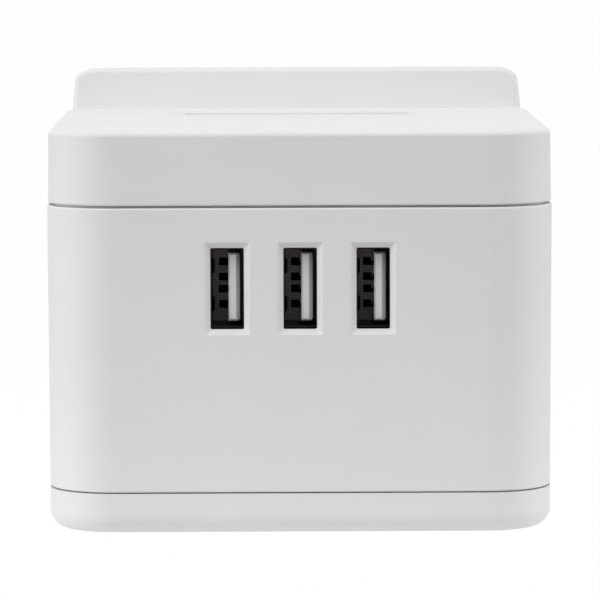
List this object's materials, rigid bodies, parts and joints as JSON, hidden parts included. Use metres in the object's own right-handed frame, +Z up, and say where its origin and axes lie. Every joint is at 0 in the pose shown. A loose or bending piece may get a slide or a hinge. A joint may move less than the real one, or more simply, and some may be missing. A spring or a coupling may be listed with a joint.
{
  "type": "extension lead",
  "caption": "Cube extension lead with USB-A charging ports in front, a shuttered mains outlet in each side, a flat deck with a raised rear ridge, and a cable inlet behind.",
  "frame": {"origin": "on the ground under the middle of the case", "axes": "+Z up, -Y out of the front wall with the USB ports, +X to the right seen from the front"},
  "size_m": [0.083, 0.083, 0.0734],
  "materials": {
    "case_plastic": "satin white moulding, fine texture",
    "outlet_plastic": "satin white moulding",
    "shutter_plastic": "smooth pale grey moulding",
    "carrier_plastic": "plain dark moulding",
    "usb_steel": "rolled sheet",
    "usb_insulator": "plain pale moulding",
    "contact_plating": "plated",
    "board": "laminate with solder resist",
    "ferrite": "sintered, matt",
    "winding": "wound and taped",
    "capacitor_can": "drawn can",
    "chip": "moulded package",
    "bar_brass": "stamped strip",
    "live_insulation": "extruded sleeve",
    "neutral_insulation": "extruded sleeve",
    "gland": "soft bush",
    "foot_rubber": "matt pad",
    "screw_steel": "zinc plated",
    "spring_steel": "drawn wire"
  },
  "bodies": {
    "case": {"main_body": "case_plastic", "top_cover": "case_plastic", "base_cover": "case_plastic", "charger_board": "board", "transformer_core": "ferrite", "transformer_winding": "winding", "input_capacitor": "capacitor_can", "output_capacitor": "capacitor_can", "charge_controller": "chip", "live_bar": "bar_brass", "neutral_bar": "bar_brass", "earth_bar": "bar_brass", "live_wire": "live_insulation", "neutral_wire": "neutral_insulation", "cable_gland": "gland", "case_screws": "screw_steel", "board_screws": "screw_steel", "carrier_screws": "screw_steel", "foot_1": "foot_rubber", "foot_2": "foot_rubber", "foot_3": "foot_rubber", "foot_4": "foot_rubber", "usb_shell_1": "usb_steel", "usb_insulator_1": "usb_insulator", "usb_contacts_1": "contact_plating", "usb_shell_2": "usb_steel", "usb_insulator_2": "usb_insulator", "usb_contacts_2": "contact_plating", "usb_shell_3": "usb_steel", "usb_insulator_3": "usb_insulator", "usb_contacts_3": "contact_plating", "socket_face_right": "outlet_plastic", "shutter_spring_right": "spring_steel", "contact_carrier_right": "carrier_plastic", "socket_face_left": "outlet_plastic", "shutter_spring_left": "spring_steel", "contact_carrier_left": "carrier_plastic"},
    "shutter_right": {"shutter_right": "shutter_plastic"},
    "shutter_left": {"shutter_left": "shutter_plastic"}
  },
  "joints": [
    {"name": "shutter_right_slide", "type": "slide", "parent": "case", "child": "shutter_right", "axis": [0, 0, -1], "range_m": [0, 0.0054], "stiffness_N_per_m": 200, "springref_m": -0.005, "deforming": ["shutter_spring_right"]},
    {"name": "shutter_left_slide", "type": "slide", "parent": "case", "child": "shutter_left", "axis": [0, 0, -1], "range_m": [0, 0.0054], "stiffness_N_per_m": 200, "springref_m": -0.005, "deforming": ["shutter_spring_left"]}
  ]
}
